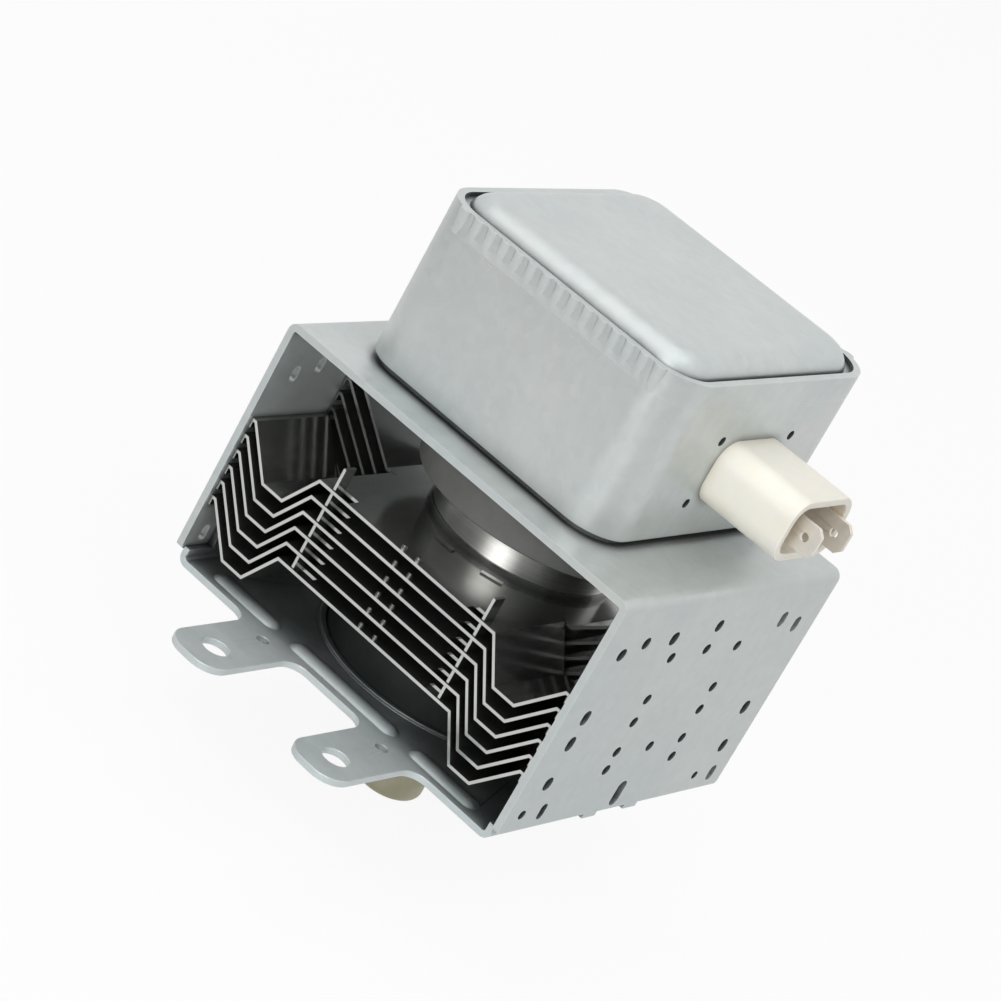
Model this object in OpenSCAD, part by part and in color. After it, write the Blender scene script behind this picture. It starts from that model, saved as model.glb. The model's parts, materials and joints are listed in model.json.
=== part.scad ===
// Magnetron: a microwave source in its magnetic yoke, with cooling fins and a filter box.
// Lengths are in millimetres. The mounting plane is z = 0 and the antenna points down.
// The filter box stands on top, its terminal socket faces +X, and the air runs along Y.

/* [Yoke] */
// Outer width of the yoke over its two walls
yoke_w = 88; // [84:0.5:100]
// Depth of the yoke along the air flow
yoke_d = 75; // [70:0.5:90]
// Height of the walls, lower edge to top face
yoke_h = 51; // [49:0.5:60]
// Sheet thickness of the yoke
yoke_t = 1.5; // [1.2:0.1:1.8]
// Outer radius of the two folds
yoke_fold_r = 2; // [1.9:0.1:4]
// Radius of the walls' lower corners
yoke_corner_r = 0.8; // [0.5:0.1:4]
// Diameter of the holes for the tube in yoke and plate
tube_hole_d = 21.2; // [20.6:0.1:23]
// Diameter of a round fixing dent in a wall
dent_d = 2.5; // [2:0.1:2.9]
// Depth of a round fixing dent
dent_depth = 1.1; // [0.6:0.05:1.15]
// Width of the feet under each wall
foot_w = 4.4; // [3:0.1:6]
// Drop of the feet below the wall
foot_drop = 1; // [0.5:0.1:1.5]

/* [Mounting plate] */
// Sheet thickness of the mounting plate
plate_t = 1.4; // [1:0.1:1.7]
// Height of the wall edges above the plate's underside
plate_drop = 3; // [2:0.1:4]
// Setback of the plate's front and back edges
plate_inset = 0.8; // [0:0.1:2]
// Height of the plate's upturned sides
plate_side_h = 8; // [6:0.1:10]
// Outer radius of the plate's side bends
plate_bend_r = 2; // [1.8:0.1:3.5]
// Length of the lowered ends of the plate's sides
side_notch = 7; // [5:0.1:9]
// Height of the plate's sides at their lowered ends
side_low_h = 3.6; // [3.4:0.1:5]
// Mounting hole distance across the yoke
hole_span_x = 32.6; // [28:0.1:40]
// Mounting hole distance along the yoke depth
hole_span_y = 106.2; // [104:0.1:122]
// Diameter of a mounting hole
hole_d = 5.5; // [4:0.1:6.5]
// Width of a mounting ear
ear_w = 12.8; // [11:0.1:16]
// Radius of the fillet at an ear's root
ear_fillet_r = 3.8; // [1:0.1:5]
// Distance from a mounting hole to the ear's end
ear_end = 8.2; // [7:0.1:10]
// Radius of the ear's outer corners
ear_corner_r = 5; // [3:0.1:5.4]
// Diameter of the small hole at an ear's root
pilot_d = 2.6; // [1.5:0.1:3.5]
// Width of the stiffening beads
bead_w = 4.5; // [3:0.1:5]
// Distance of a bead's middle from the plate's edge
bead_set = 4.2; // [3.6:0.1:5]
// Space left beside an ear's middle by each bead's end
bead_gap = 2.1; // [1.5:0.1:3]
// Distance of the outer beads' ends from the walls
bead_end = 6.7; // [6:0.1:9]
// Height of the stiffening beads
bead_h = 1; // [0.5:0.1:1.4]

/* [Magnets and tube] */
// Outer diameter of both magnets
magnet_d = 51; // [46:0.5:52]
// Bore of both magnets
magnet_bore = 21; // [20.6:0.1:24]
// Outer diameter of the anode shell
anode_d = 38; // [35:0.5:40]
// Length of the anode shell between the magnets
anode_len = 27.6; // [26.5:0.1:29]
// Wall of the anode shell
anode_wall = 2; // [1.4:0.1:2.6]
// Number of resonator vanes
vane_count = 10; // [8:2:12]
// Height of the vanes
vane_h = 9.4; // [8.4:0.1:10.4]
// Thickness of a vane
vane_t = 1.9; // [1.4:0.1:2.2]
// Inner diameter of the vane tips
vane_bore = 9; // [8.6:0.1:10]
// Outer diameter of the sealing cups' tubes
cup_d = 19.6; // [18.6:0.1:20]
// Wall of the sealing cups
cup_t = 0.6; // [0.4:0.1:0.8]
// Outer diameter of the cathode filament
filament_d = 4.2; // [3.8:0.1:4.6]
// Diameter of the cathode leads
lead_d = 1.2; // [0.8:0.1:1.4]

/* [Antenna] */
// Length of the antenna below the mounting plane
antenna_len = 25.4; // [22:0.1:32]
// Outer diameter of the antenna cap
antenna_d = 14.8; // [13.6:0.1:16]
// Wall of the antenna cap
antenna_wall = 0.7; // [0.5:0.1:1]
// Height of the antenna cap
antenna_cap_h = 10; // [8:0.1:12]
// Outer diameter of the contact gasket
gasket_d = 33; // [30:0.5:38]
// Height of the contact gasket
gasket_h = 3.6; // [2.5:0.1:5]
// Sheet thickness of the gasket retainer
retainer_t = 0.6; // [0.4:0.1:0.8]

/* [Fins] */
// Sheet thickness of a fin
fin_t = 0.6; // [0.4:0.05:0.8]
// Distance from fin to fin
fin_pitch = 3.53; // [3.3:0.01:3.8]
// Height of the lowest fin above the lower magnet
fin_lift = 1.6; // [1.2:0.1:2.4]
// Width of a fin's flat middle at front and back
fin_flat_w = 46.4; // [45:0.1:48]
// Width of a fin's flat at the raised wings
fin_mid_flat_w = 50; // [48:0.1:52]
// Run of the inner leg that drops from the flat
fin_leg_run = 5.2; // [4:0.1:6]
// Drop from flat to valley
fin_valley_drop = 8.2; // [7:0.1:9]
// Width of the valley's floor
fin_valley_w = 5.3; // [4:0.1:6]
// Height of the wall end above the flat
fin_end_rise = 0.5; // [0:0.1:1]
// Length of the lip that lies on the wall
fin_lip = 1.7; // [1:0.1:2]
// Depth of the raised middle wings
fin_mid_d = 28; // [24:0.5:30]
// Slope of the raised wings in degrees
fin_wing_angle = 37.8; // [34:0.1:40]
// Width of the slits beside the raised wings
fin_slit = 0.3; // [0.2:0.05:0.6]
// Height of a fin's collar on the anode
fin_collar_h = 1.9; // [1:0.1:2.2]
// Thickness of a fin's collar
fin_collar_t = 0.5; // [0.3:0.05:0.7]
// Distance of the spacer tabs from the middle
fin_tab_x = 19.8; // [18.5:0.1:20.6]
// Depth of a spacer tab
fin_tab_d = 3.2; // [2:0.1:4]
// Height of the free tabs on the top fin
fin_top_tab_h = 4.8; // [3:0.1:5.5]
// Distance between the two pips at a fin's edge
fin_pip_gap = 3.8; // [3:0.1:6]
// Diameter of a pip
fin_pip_d = 1.5; // [1:0.1:2]

/* [Filter box] */
// Width of the filter box
case_w = 63.7; // [62:0.1:66]
// Depth of the filter box
case_d = 67; // [64:0.1:70]
// Height of the filter box from yoke to rim
case_h = 35; // [33:0.1:40]
// Offset of the filter box across the yoke
case_x = -2.95; // [-4:0.05:-1]
// Offset of the filter box along the yoke depth
case_y = 4.4; // [2:0.1:6]
// Radius of the filter box's upright corners
case_r = 9; // [7.5:0.1:11]
// Sheet thickness of the case
case_t = 0.8; // [0.6:0.05:1]
// Height of the set-in foot of the case
case_foot_h = 1.3; // [0.8:0.1:1.8]
// Set-in of the foot of the case
case_foot_in = 1.4; // [0.8:0.1:1.8]
// Sheet thickness of the lid
lid_t = 0.6; // [0.5:0.05:0.7]
// Height of the lid's skirt
lid_skirt_h = 5.2; // [4:0.1:7]
// Width of the lid's hemmed rim
lid_rim = 1.5; // [1.2:0.1:2]
// Depth of the channel inside the rim
lid_channel_h = 1; // [0.6:0.1:1.4]
// Width of the channel's floor
lid_channel_w = 0.9; // [0.6:0.1:1.4]
// Rise of the lid's panel over the rim
lid_rise = 2.8; // [2:0.1:3.5]
// Width of the panel's rounded shoulder
lid_shoulder = 5; // [4:0.1:6]
// Corner radius of the panel at its foot
lid_corner_r = 8.2; // [7.5:0.1:11]
// Number of crimp ridges on a skirt side
ridge_count = 15; // [11:1:16]
// Radius of a crimp ridge
ridge_r = 1.5; // [1.2:0.05:2]
// Height of a ridge over the skirt, at the rim
ridge_out = 0.7; // [0.4:0.05:0.9]

/* [Socket and filter] */
// Width of the terminal socket
socket_w = 20.8; // [19:0.1:22]
// Height of the terminal socket
socket_h = 13.2; // [11.5:0.1:14]
// Length of the socket outside the case
socket_len = 18.9; // [16:0.1:22]
// Corner radius of the socket
socket_r = 4.6; // [3.6:0.1:5.4]
// Wall of the socket
socket_wall = 1.6; // [1.2:0.1:1.8]
// Depth of the socket's mouth
socket_depth = 14; // [10:0.1:15]
// Height of the socket's middle above the yoke
socket_z = 15.6; // [14:0.1:18]
// Position of the socket along the yoke depth
socket_y = 5.5; // [3:0.1:8]
// Distance between the two terminals
tab_gap = 10.6; // [9:0.1:11]
// Width of a terminal
tab_w = 6.3; // [4.8:0.1:6.4]
// Thickness of a terminal
tab_t = 0.8; // [0.5:0.1:1]
// Length of a terminal beyond the socket
tab_out = 4.7; // [2:0.1:6]
// Distance across between the flange fixing points
stake_span_y = 24.4; // [23.4:0.1:26]
// Distance upwards between the flange fixing points
stake_span_z = 13.7; // [11:0.1:15]
// Diameter of the flange fixing points
stake_d = 2; // [1.4:0.1:2.4]
// Outer diameter of the choke coils
coil_d = 7.6; // [7:0.1:8.4]
// Length of the choke coils
coil_len = 24; // [20:0.5:26]
// Wire thickness of the choke coils
wire_d = 1.4; // [1:0.1:1.6]

/* [Hidden] */
$fn = 64;
cut = 1;
wall_in = yoke_w / 2 - yoke_t;
yoke_top = plate_drop + yoke_h;
yoke_under = yoke_top - yoke_t;
plate_d = yoke_d - 2 * plate_inset;
magnet_h = (yoke_under - plate_t - anode_len) / 2;
anode_z0 = plate_t + magnet_h;
anode_z1 = anode_z0 + anode_len;
anode_mid = (anode_z0 + anode_z1) / 2;
anode_r = anode_d / 2;
anode_ri = anode_r - anode_wall;
fin_z6 = anode_z0 + fin_lift;
fin_d = plate_d;
case_z0 = yoke_top;
rim_z = yoke_top + case_h;
case_in_w = case_w - 2 * case_t;
case_in_d = case_d - 2 * case_t;
wall_x = case_x + case_w / 2;
socket_mid = yoke_top + socket_z;

// Colours
zinc = [0.76, 0.78, 0.78];
alu = [0.72, 0.73, 0.73];
ferrite = [0.2, 0.19, 0.19];
copper = [0.72, 0.45, 0.32];
steel = [0.62, 0.63, 0.64];
ceramic = [0.93, 0.9, 0.88];
cream = [0.95, 0.92, 0.86];
brass = [0.66, 0.6, 0.42];

// Small helpers
function unit(v) = v / norm(v);
function seg_n(a, b) = let (u = unit(b - a)) [-u[1], u[0]];
function off_pt(p, i, d) =
    i == 0 ? p[0] + d * seg_n(p[0], p[1])
    : i == len(p) - 1 ? p[i] + d * seg_n(p[i - 1], p[i])
    : let (n1 = seg_n(p[i - 1], p[i]), n2 = seg_n(p[i], p[i + 1]))
        p[i] + d * (n1 + n2) / (1 + n1 * n2);
// Outline of a bent sheet of thickness t along the line p
function strip(p, t) = concat(
    [for (i = [0 : len(p) - 1]) off_pt(p, i, t / 2)],
    [for (i = [len(p) - 1 : -1 : 0]) off_pt(p, i, -t / 2)]);
// Both halves of a profile that is the same on both sides
function both(h) = concat([for (i = [len(h) - 1 : -1 : 0]) [-h[i][0], h[i][1]]], h);

module rrect(w, d, r) {
    square([w - 2 * r, d], center = true);
    square([w, d - 2 * r], center = true);
    for (sx = [-1, 1], sy = [-1, 1])
        translate([sx * (w / 2 - r), sy * (d / 2 - r)]) circle(r);
}

// Profile in x and z, drawn out along y from y0 to y1
module along_y(y0, y1) {
    translate([0, y1, 0]) rotate([90, 0, 0]) linear_extrude(height = y1 - y0) children();
}

// Profile in y and z, drawn out along x from x0 to x1
module along_x(x0, x1) {
    translate([x0, 0, 0]) rotate([90, 0, 90]) linear_extrude(height = x1 - x0) children();
}

module tube(r, ri, z0, z1) {
    translate([0, 0, z0]) difference() {
        cylinder(r = r, h = z1 - z0);
        translate([0, 0, -cut]) cylinder(r = ri, h = z1 - z0 + 2 * cut);
    }
}

module disc(r, z0, z1) {
    translate([0, 0, z0]) cylinder(r = r, h = z1 - z0);
}

module at_z(z) {
    translate([0, 0, z]) children();
}

// Yoke

// Fixing marks on a wall: place along the depth and up the wall as shares, then size
dents = [
    [-0.81, 0.775, 1, 1.1], [-0.635, 0.81, 0.9, 1.15], [-0.385, 0.81, 1, 1.2],
    [-0.302, 0.718, 0.9, 1], [0, 0.835, 0.9, 1.2], [0.01, 0.73, 0.9, 1],
    [0.311, 0.72, 0.9, 1], [0.316, 0.53, 0.9, 1], [0.318, 0.426, 0.9, 1],
    [0.81, 0.386, 1, 1.3], [-0.294, 0.531, 0.9, 1], [-0.294, 0.428, 0.9, 1],
    [-0.8, 0.498, 0.95, 1.4], [-0.8, 0.383, 0.95, 1.4], [-0.287, 0.292, 0.9, 1],
    [-0.288, 0.21, 0.9, 1], [0.02, 0.286, 0.9, 1], [0.312, 0.294, 0.9, 1],
    [0.322, 0.206, 0.9, 1], [0.82, 0.203, 0.95, 1.3], [-0.79, 0.204, 1, 1.2],
    [-0.868, 0.074, 0.8, 0.9], [0.703, 0.073, 0.7, 0.8]
];
slots = [
    [0.636, 0.813, 2.2, 3.6], [0.812, 0.777, 2.2, 3.6], [-0.019, 0.072, 2.7, 5.8],
    [-0.69, 0.068, 1.9, 3.6], [0.874, 0.066, 2.1, 3.6]
];

module oblong(w, h) {
    square([w, h - w], center = true);
    for (s = [-1, 1]) translate([0, s * (h - w) / 2]) circle(w / 2);
}

module wall_marks() {
    for (m = dents)
        translate([0, m[0] * yoke_d / 2, plate_drop + m[1] * yoke_h])
            along_x(yoke_w / 2 - dent_depth, yoke_w / 2 + cut)
                oblong(dent_d * m[2], dent_d * m[2] * max(1.02, m[3]));
    for (m = slots)
        translate([0, m[0] * yoke_d / 2, plate_drop + m[1] * yoke_h])
            along_x(wall_in - cut, yoke_w / 2 + cut) oblong(m[2], m[3]);
}

module yoke_section() {
    difference() {
        union() {
            translate([-yoke_w / 2, plate_drop]) square([yoke_w, yoke_h - yoke_fold_r]);
            translate([-yoke_w / 2 + yoke_fold_r, plate_drop])
                square([yoke_w - 2 * yoke_fold_r, yoke_h]);
            for (s = [-1, 1])
                translate([s * (yoke_w / 2 - yoke_fold_r), yoke_top - yoke_fold_r])
                    circle(yoke_fold_r);
        }
        translate([-wall_in, plate_drop - cut])
            square([2 * wall_in, yoke_h + cut - yoke_fold_r]);
        translate([-yoke_w / 2 + yoke_fold_r, plate_drop - cut])
            square([yoke_w - 2 * yoke_fold_r, yoke_h + cut - yoke_t]);
        for (s = [-1, 1])
            translate([s * (yoke_w / 2 - yoke_fold_r), yoke_top - yoke_fold_r])
                circle(yoke_fold_r - yoke_t);
    }
}

// Place of the feet as a share of the depth
foot_share = 0.093;

module corner_trim(y, s) {
    translate([0, y, plate_drop]) along_x(-yoke_w, yoke_w) difference() {
        translate([-s * yoke_corner_r / 2, yoke_corner_r / 2 - cut / 2])
            square([yoke_corner_r, yoke_corner_r + cut], center = true);
        translate([-s * yoke_corner_r, yoke_corner_r]) circle(yoke_corner_r);
        translate([-s * (yoke_corner_r + cut), yoke_corner_r])
            square([2 * cut, 2 * cut], center = true);
    }
}

module yoke_frame() color(zinc) {
    difference() {
        union() {
            difference() {
                along_y(-yoke_d / 2, yoke_d / 2) yoke_section();
                for (s = [-1, 1]) corner_trim(s * yoke_d / 2, s);
            }
            for (sx = [-1, 1], sy = [-1, 1])
                translate([sx * (yoke_w / 2 - yoke_t / 2), sy * yoke_d * foot_share,
                           plate_drop - foot_drop / 2 + yoke_t / 2])
                    cube([yoke_t, foot_w, foot_drop + yoke_t], center = true);
        }
        wall_marks();
        rotate([0, 0, 180]) wall_marks();
        at_z(yoke_under - cut) cylinder(d = tube_hole_d, h = yoke_t + 2 * cut);
    }
}

// Mounting plate

// The raised ring that keeps the lower magnet in place
seat_play = 0.3;
seat_w = 1.3;
seat_h = 0.7;

module tray_section() {
    ri = plate_bend_r - plate_t;
    difference() {
        union() {
            translate([-wall_in, plate_bend_r]) square([2 * wall_in, plate_side_h - plate_bend_r]);
            translate([-wall_in + plate_bend_r, 0])
                square([2 * (wall_in - plate_bend_r), plate_side_h]);
            for (s = [-1, 1]) translate([s * (wall_in - plate_bend_r), plate_bend_r])
                circle(plate_bend_r);
        }
        translate([-wall_in + plate_t, plate_bend_r])
            square([2 * (wall_in - plate_t), plate_side_h]);
        translate([-wall_in + plate_bend_r, plate_t])
            square([2 * (wall_in - plate_bend_r), plate_side_h]);
        for (s = [-1, 1]) translate([s * (wall_in - plate_bend_r), plate_bend_r]) circle(ri);
    }
}

// The tray's sides are low at their ends and stand against the walls between them
module tray() {
    difference() {
        along_y(-plate_d / 2, plate_d / 2) tray_section();
        for (s = [-1, 1]) translate([0, s * plate_d / 2, side_low_h + plate_side_h / 2])
            cube([2 * yoke_w, 2 * side_notch, plate_side_h], center = true);
    }
}

// One ear, drawn for the front edge; its hole is near the outer end
module ear() {
    edge = plate_d / 2;
    reach = hole_span_y / 2 + ear_end;
    flat = ear_w / 2 - ear_corner_r;
    translate([hole_span_x / 2, 0]) {
        translate([-ear_w / 2, -reach + ear_corner_r])
            square([ear_w, reach - ear_corner_r - edge + plate_bend_r]);
        translate([-flat, -reach]) square([2 * flat, ear_corner_r + cut]);
        for (s = [-1, 1]) translate([s * flat, -reach + ear_corner_r]) circle(ear_corner_r);
        for (s = [-1, 1]) difference() {
            translate([s * (ear_w + ear_fillet_r) / 2, -edge - ear_fillet_r / 2 + cut / 2])
                square([ear_fillet_r, ear_fillet_r + cut], center = true);
            translate([s * (ear_w / 2 + ear_fillet_r), -edge - ear_fillet_r])
                circle(ear_fillet_r);
        }
    }
}

// A pressed bead with round ends, on the plate's upper face
module bead(x0, x1) {
    r = (bead_w * bead_w / 4 + bead_h * bead_h) / (2 * bead_h);
    intersection() {
        translate([0, 0, plate_t + bead_h - r]) {
            translate([x0 + bead_w / 2, 0, 0]) rotate([0, 90, 0])
                cylinder(r = r, h = x1 - x0 - bead_w);
            translate([x0 + bead_w / 2, 0, 0]) sphere(r);
            translate([x1 - bead_w / 2, 0, 0]) sphere(r);
        }
        translate([x0 - bead_w, -bead_w, plate_t / 2])
            cube([x1 - x0 + 2 * bead_w, 2 * bead_w, bead_h + plate_t]);
    }
}

module mounting_plate() color(zinc) {
    bead_y = plate_d / 2 - bead_set;
    hx = hole_span_x / 2;
    difference() {
        union() {
            tray();
            for (s = [0, 180], m = [0, 1]) rotate([0, 0, s]) mirror([m, 0, 0])
                linear_extrude(height = plate_t) ear();
            for (s = [-1, 1]) translate([0, s * bead_y, 0]) {
                bead(-hx + bead_gap, hx - bead_gap);
                bead(hx + bead_gap, wall_in - bead_end);
                bead(-wall_in + bead_end, -hx - bead_gap);
            }
            tube(magnet_d / 2 + seat_play + seat_w, magnet_d / 2 + seat_play,
                 plate_t / 2, plate_t + seat_h);
        }
        at_z(-cut) cylinder(d = tube_hole_d, h = plate_t + 2 * cut);
        for (sx = [-1, 1], sy = [-1, 1]) {
            translate([sx * hx, sy * hole_span_y / 2, -cut])
                cylinder(d = hole_d, h = plate_t + 2 * cut);
            translate([sx * hx, sy * (plate_d / 2 + pilot_d), -cut])
                cylinder(d = pilot_d, h = plate_t + 2 * cut);
        }
    }
}

// Magnets

module ring_magnet(z0) {
    tube(magnet_d / 2, magnet_bore / 2, z0, z0 + magnet_h);
}

module upper_magnet() color(ferrite) ring_magnet(anode_z1);

module lower_magnet() color(ferrite) ring_magnet(plate_t);

// Anode

module anode_shell() color(copper) tube(anode_r, anode_ri, anode_z0, anode_z1);

strap_h = 1.1;
strap_t = 0.8;
strap_in = 1.8;
strap_r1 = vane_bore / 2 + strap_in;
strap_r2 = strap_r1 + 2 * strap_t;

module anode_vanes() color(copper) {
    z0 = anode_mid - vane_h / 2;
    notch = strap_t * 0.25;
    difference() {
        intersection() {
            union() for (k = [0 : vane_count - 1])
                rotate([0, 0, k * 360 / vane_count])
                    translate([0, -vane_t / 2, z0]) cube([anode_r, vane_t, vane_h]);
            tube(anode_ri, vane_bore / 2, z0 - cut, z0 + vane_h + cut);
        }
        for (z = [z0 - cut, z0 + vane_h - strap_h])
            tube(strap_r2 + strap_t + notch, strap_r1 - notch, z, z + strap_h + cut);
    }
}

module strap_rings() color(copper) {
    for (z = [anode_mid - vane_h / 2, anode_mid + vane_h / 2 - strap_h], r = [strap_r1, strap_r2])
        tube(r + strap_t, r, z, z + strap_h);
}

// Pole pieces and sealing cups, drawn for the lower end and turned over for the upper

pole_t = 1.4;
pole_gap = 3;
pole_reach = (anode_len - vane_h) / 2 - pole_gap;
pole_rim = 2.4;
pole_face = 3;
pole_play = 0.2;
ant_lead_d = 2;
ant_turn = 360 / vane_count * floor(vane_count / 4);
ant_out = 5.2;
ant_r = vane_bore / 2 + ant_out;
ant_z = anode_z0 + cup_t + ant_lead_d * 0.55;

module pole_piece() {
    z0 = cup_t;
    tip = vane_bore / 2 + pole_play;
    rotate_extrude() polygon([
        [anode_ri, z0], [anode_ri, z0 + pole_t], [anode_ri - pole_rim, z0 + pole_t],
        [tip + pole_face, pole_reach], [tip, pole_reach],
        [tip, pole_reach - pole_t], [tip + pole_rim, pole_reach - pole_t],
        [anode_ri - pole_rim - pole_t / 2, z0]
    ]);
}

module lower_pole_piece() color(steel) difference() {
    at_z(anode_z0) pole_piece();
    rotate([0, 0, ant_turn]) translate([ant_r, 0, anode_z0])
        cylinder(d = ant_lead_d + pole_play * 5, h = pole_reach + cut);
}

module upper_pole_piece() color(steel) at_z(anode_z1) mirror([0, 0, 1]) pole_piece();

// A sealing cup: flange against the magnet, tube through the magnet's bore
module seal_cup(len) {
    tube(anode_ri, cup_d / 2 - cup_t, 0, cup_t);
    tube(cup_d / 2, cup_d / 2 - cup_t, -len, cup_t);
}

cup_over = 6;
cup_under = 5;
cup_up = magnet_h + yoke_t + cup_over;
cup_down = magnet_h + plate_t + cup_under;

module upper_seal_cup() color(steel) at_z(anode_z1) mirror([0, 0, 1]) seal_cup(cup_up);

module lower_seal_cup() color(steel) at_z(anode_z0) seal_cup(cup_down);

// Cathode

hat_t = 0.8;
hat_play = 0.8;
hat_d = vane_bore - 2 * hat_play;
fil_z0 = anode_mid - vane_h / 2;
fil_z1 = anode_mid + vane_h / 2;
fil_turns = 12;
fil_wire = 0.72;

// Close-wound wire drawn as a ribbed sleeve
function ribs(ro, depth, z0, z1, n) = [for (k = [0 : 2 * n])
    [k % 2 == 0 ? ro - depth : ro, z0 + (z1 - z0) * k / (2 * n)]];

module wound(ro, ri, depth, z0, z1, n) {
    rotate_extrude() polygon(concat(ribs(ro, depth, z0, z1, n), [[ri, z1], [ri, z0]]));
}

module cathode_filament() color(steel)
    wound(filament_d / 2, filament_d / 2 - fil_wire, fil_wire / 3, fil_z0, fil_z1, fil_turns);

stem_sink = 3;
stem_len = 9;
stem_step = 1.4;
stem_seat = anode_z1 + cup_up - stem_sink;
stem_top = anode_z1 + cup_up + stem_len;
stem_lead_x = 2.6;
lead_play = 0.4;

module cathode_center_lead() color(steel) {
    disc(hat_d / 2, fil_z0 - hat_t, fil_z0);
    disc(lead_d / 2, fil_z0 - hat_t / 2, stem_top);
}

module cathode_side_lead() color(steel) {
    difference() {
        disc(hat_d / 2, fil_z1, fil_z1 + hat_t);
        disc(lead_d / 2 + lead_play, fil_z1 - cut, fil_z1 + hat_t + cut);
    }
    translate([stem_lead_x, 0, 0]) disc(lead_d / 2, fil_z1 + hat_t / 2, stem_top);
}

module stem_ceramic() color(ceramic) {
    difference() {
        union() {
            disc(cup_d / 2 - cup_t, stem_seat, anode_z1 + cup_up);
            disc(cup_d / 2 - stem_step, anode_z1 + cup_up - cut, stem_top);
        }
        disc(lead_d / 2, stem_seat - cut, stem_top + cut);
        translate([stem_lead_x, 0, 0]) disc(lead_d / 2, stem_seat - cut, stem_top + cut);
    }
}

// Caps brazed on the ceramic; the choke leads end on them
term_t = 0.8;
term_w = 5.2;
term_end = 6.4;

module stem_terminal(x0, x1) {
    translate([x0, -term_w / 2, stem_top]) cube([x1 - x0, term_w, term_t]);
}

module stem_terminal_a() color(steel) stem_terminal(-term_end, lead_d * 0.75);

module stem_terminal_b() color(steel) stem_terminal(stem_lead_x - lead_d / 2, term_end);

// Antenna

cap_top = -antenna_len + antenna_cap_h;
cer_r = antenna_d / 2 - antenna_wall;
cup_end = anode_z0 - cup_down;
exhaust_d = 6.4;
exhaust_t = 0.9;
exhaust_in = 2;
exhaust_play = 0.6;
tip_gap = 2.4;
pinch_h = 3;
pinch_z = -antenna_len + tip_gap + pinch_h;
seal_h = 3;

module antenna_ceramic() color(ceramic) {
    difference() {
        union() {
            disc(cup_d / 2 - cup_t, cup_end, cup_end + seal_h);
            disc(cer_r, cap_top - seal_h, cup_end + cut);
        }
        disc(exhaust_d / 2 + exhaust_play, cap_top - seal_h - cut, cup_end + seal_h + cut);
    }
}

module antenna_lead() color(copper) rotate([0, 0, ant_turn]) {
    zv = anode_mid - vane_h / 2;
    translate([ant_r, 0, ant_z]) cylinder(d = ant_lead_d, h = zv - ant_z);
    translate([ant_r, 0, ant_z]) sphere(d = ant_lead_d);
    at_z(ant_z) rotate([0, 90, 0]) cylinder(d = ant_lead_d, h = ant_r);
    at_z(ant_z) sphere(d = ant_lead_d);
    at_z(pinch_z) cylinder(d = ant_lead_d, h = ant_z - pinch_z);
}

module exhaust_tube() color(copper) difference() {
    union() {
        disc(exhaust_d / 2, pinch_z, cup_end + exhaust_in);
        at_z(pinch_z - pinch_h) cylinder(d1 = exhaust_d * 0.45, d2 = exhaust_d, h = pinch_h);
    }
    disc(ant_lead_d / 2, pinch_z, cup_end + exhaust_in + cut);
    disc(exhaust_d / 2 - exhaust_t, pinch_z + pinch_h, cup_end + exhaust_in + cut);
}

module antenna_cap() color(brass) {
    r = antenna_d / 2;
    e = 2;
    cap_ledge = 1.2;
    difference() {
        union() {
            disc(r, -antenna_len + e, cap_top);
            disc(r - e, -antenna_len, -antenna_len + e + cut);
            at_z(-antenna_len + e) rotate_extrude() translate([r - e, 0]) circle(e);
        }
        disc(r - antenna_wall, cap_top - seal_h, cap_top + cut);
        disc(r - antenna_wall - cap_ledge, -antenna_len + antenna_wall, cap_top);
    }
}

// Contact gasket under the plate

ret_ri = tube_hole_d / 2;
ret_lip = 2.4;
ret_in = 1.5;

module gasket_retainer() color(steel) {
    tube(gasket_d / 2 - ret_in, ret_ri, -retainer_t, 0);
    tube(ret_ri + retainer_t, ret_ri, -retainer_t - gasket_h - retainer_t, -retainer_t / 2);
    tube(ret_ri + ret_lip, ret_ri, -2 * retainer_t - gasket_h, -retainer_t - gasket_h);
}

module rf_gasket() color(brass) {
    e = 1.2;
    r0 = ret_ri + retainer_t;
    r1 = gasket_d / 2;
    at_z(-retainer_t - gasket_h) rotate_extrude() {
        translate([r0, 0]) square([r1 - e - r0, gasket_h]);
        translate([r0, e]) square([r1 - r0, gasket_h - 2 * e]);
        translate([r1 - e, e]) circle(e);
        translate([r1 - e, gasket_h - e]) circle(e);
    }
}

// Fins

fin_end_x = wall_in - fin_t / 2;
fin_crest = 0.9;
fin_half = [
    [fin_flat_w / 2, 0],
    [fin_flat_w / 2 + fin_leg_run, -fin_valley_drop],
    [fin_flat_w / 2 + fin_leg_run + fin_valley_w, -fin_valley_drop],
    [fin_end_x - fin_crest, fin_end_rise],
    [fin_end_x, fin_end_rise],
    [fin_end_x, fin_end_rise - fin_lip]
];
fin_wing_rise = (fin_end_x - fin_crest - fin_mid_flat_w / 2) * tan(fin_wing_angle);
fin_mid_half = [
    [fin_mid_flat_w / 2, 0],
    [fin_end_x - fin_crest, fin_wing_rise],
    [fin_end_x, fin_wing_rise],
    [fin_end_x, fin_wing_rise - fin_lip]
];
tab_front = fin_d / 2 - fin_slit;
pip_rise = 0.7;
bridge = [1.2, 4.6];
bridge_out = 3.4;

module spacer_tabs(h) {
    for (sx = [-1, 1], sy = [-1, 1])
        translate([sx * fin_tab_x, sy * (tab_front - fin_tab_d / 2), h / 2])
            cube([fin_t, fin_tab_d, h + fin_t], center = true);
}

module tab_windows() {
    open = fin_pitch * 1.05;
    for (sx = [-1, 1], sy = [-1, 1])
        translate([sx * (fin_tab_x - fin_t / 2 - open / 2), sy * (tab_front - fin_tab_d / 2), 0])
            cube([open, fin_tab_d, 4 * fin_t], center = true);
}

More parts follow.
